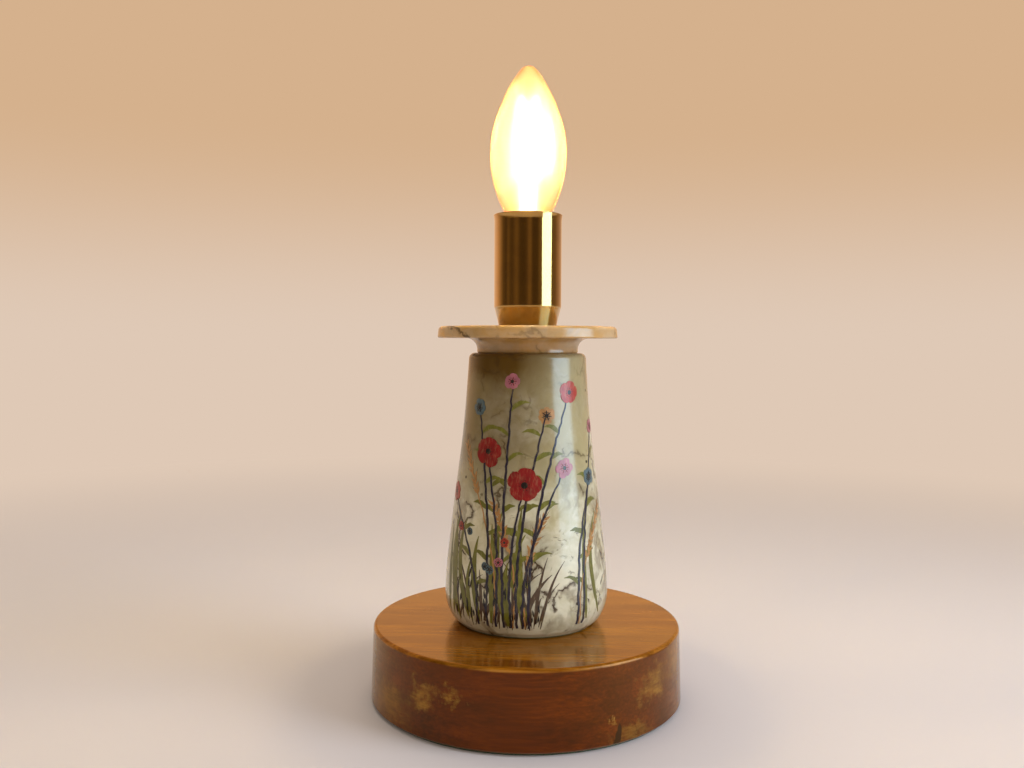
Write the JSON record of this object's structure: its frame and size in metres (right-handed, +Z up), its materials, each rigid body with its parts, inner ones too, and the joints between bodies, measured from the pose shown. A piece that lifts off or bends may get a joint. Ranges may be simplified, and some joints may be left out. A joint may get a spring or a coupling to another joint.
{
  "type": "alabaster table lamp",
  "caption": "Table lamp: tapered alabaster column and flanged collar on a round wooden base, with a brass holder and a screw-in candle bulb.",
  "frame": {"origin": "centre of the underside, on the surface that the lamp stands on", "axes": "+Z up along the lamp's axis, +Y towards the cord outlet at the back, -Y towards the viewer"},
  "size_m": [0.1444, 0.1444, 0.2921],
  "materials": {
    "felt_green": "matte",
    "hardboard": "matte",
    "varnished_wood": "satin",
    "brown_plastic": "satin",
    "white_polyamide": "satin",
    "zinc_steel": "satin",
    "plain_brass": "satin",
    "polished_brass": "polished",
    "brown_pvc": "satin",
    "blue_pvc": "satin",
    "alabaster": "polished",
    "alabaster_warm": "polished",
    "liner_paper": "matte",
    "porcelain": "gloss",
    "solder": "satin",
    "black_glass": "gloss",
    "nickel_brass": "gloss",
    "tinted_glass": "gloss",
    "clear_glass": "gloss",
    "lamp_wire": "satin",
    "lit_filament": "matte",
    "circuit_board": "matte"
  },
  "bodies": {
    "lamp": {"alabaster_body": "alabaster", "alabaster_collar": "alabaster_warm", "base_cover": "hardboard", "base_cover_screws": "zinc_steel", "base_lock_washer": "zinc_steel", "base_nut": "zinc_steel", "base_washer": "zinc_steel", "block_fixing_screw": "zinc_steel", "cord_bush": "brown_plastic", "felt_pad": "felt_green", "foot_gasket": "felt_green", "holder_bracket": "zinc_steel", "holder_cap": "polished_brass", "holder_liner": "liner_paper", "holder_sleeve": "polished_brass", "insert_screws": "zinc_steel", "live_terminal": "plain_brass", "live_wire": "brown_pvc", "neutral_terminal": "plain_brass", "neutral_wire": "blue_pvc", "porcelain_insert": "porcelain", "screw_shell": "plain_brass", "terminal_block": "white_polyamide", "terminal_block_clamps": "plain_brass", "terminal_block_screws": "zinc_steel", "terminal_screws": "zinc_steel", "threaded_tube": "zinc_steel", "top_nut": "zinc_steel", "wood_base": "varnished_wood"},
    "bulb_seat": {"bulb_contact": "solder", "bulb_insulator": "black_glass"},
    "bulb": {"bulb_cap": "nickel_brass", "bulb_glass": "tinted_glass", "bulb_stem": "clear_glass", "bulb_leads": "lamp_wire", "bulb_filaments": "lit_filament", "bulb_frame": "lamp_wire", "bulb_driver": "circuit_board"},
    "contact": {"contact_tongue": "plain_brass"}
  },
  "joints": [
    {"name": "bulb_lift", "type": "slide", "parent": "lamp", "child": "bulb_seat", "axis": [0, 0, 1], "range_m": [0, 0.01412]},
    {"name": "bulb_turn", "type": "hinge", "parent": "bulb_seat", "child": "bulb", "pos_m": [0, 0, 0.206], "axis": [0, 0, 1], "range_deg": [0, 1800]},
    {"name": "contact_flex", "type": "hinge", "parent": "lamp", "child": "contact", "pos_m": [0.0052, 0, 0.19405], "axis": [0, -1, 0], "range_deg": [0, 6], "stiffness_Nm_per_rad": 0.1, "springref_deg": -2.86}
  ],
  "couplings": [
    {"joint": "bulb_lift", "follows": "bulb_turn", "m_per_rad": 0.00044913}
  ]
}
